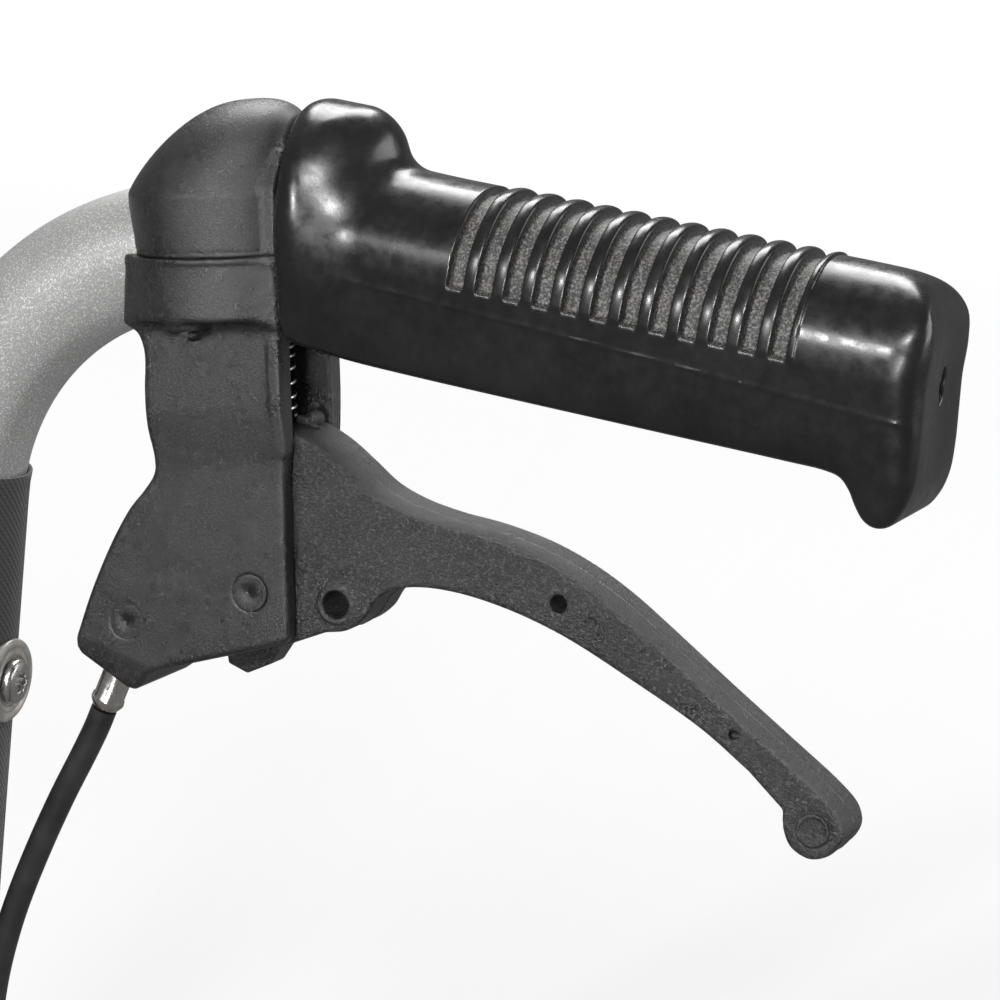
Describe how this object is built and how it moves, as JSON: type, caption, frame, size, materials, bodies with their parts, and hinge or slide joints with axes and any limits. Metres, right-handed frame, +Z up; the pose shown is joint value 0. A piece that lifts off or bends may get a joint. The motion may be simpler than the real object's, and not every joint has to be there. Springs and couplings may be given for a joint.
{
  "type": "walker push handle with brake lever",
  "caption": "Bent tube push handle with a moulded grip, a brake housing, a hand lever with return spring, and a Bowden cable that leaves the housing beside the leg",
  "frame": {"origin": "centre of the flat lower end of the leg, on the end plug", "axes": "+Z up along the leg, +X the way the grip points, +Y across"},
  "size_m": [0.2073, 0.0816, 0.275],
  "materials": {
    "tube_silver": "fine metallic silver lacquer",
    "moulded_black": "fine grained black nylon, lightly scuffed",
    "grip_black": "satin black soft vinyl",
    "steel": "bright zinc plated steel",
    "sleeve_fabric": "black ribbed nylon webbing",
    "casing_black": "smooth black cable jacket",
    "washer_grey": "satin warm grey"
  },
  "bodies": {
    "frame": {"handle_tube": "tube_silver", "tube_end_plug": "moulded_black", "fabric_sleeve": "sleeve_fabric", "sleeve_washer": "washer_grey", "sleeve_screw": "steel", "housing_cap": "moulded_black", "brake_housing": "moulded_black", "clamp_screw_front": "steel", "clamp_screw_back": "steel", "lever_pin": "moulded_black", "guide_pin": "moulded_black", "return_spring": "steel", "inner_wire": "steel", "top_ferrule": "steel", "hand_grip": "grip_black", "brake_cable": "casing_black", "cable_coil": "casing_black", "cable_tail": "casing_black", "coil_tie": "moulded_black", "end_ferrule": "steel", "end_wire": "steel", "end_nipple": "steel", "cable_clip_upper": "moulded_black", "cable_clip_lower": "moulded_black"},
    "lever": {"brake_lever": "moulded_black", "cable_nipple": "steel"},
    "roller": {"guide_roller": "moulded_black"}
  },
  "joints": [
    {"name": "lever_pivot", "type": "hinge", "parent": "frame", "child": "lever", "pos_m": [0.06835, 0, 0.18479], "axis": [0, -1, 0], "range_deg": [-12, 18], "stiffness_Nm_per_rad": 0.6, "deforming": ["return_spring", "inner_wire"]},
    {"name": "roller_spin", "type": "hinge", "parent": "frame", "child": "roller", "pos_m": [0.0438, 0, 0.17497], "axis": [0, -1, 0], "continuous": true}
  ]
}
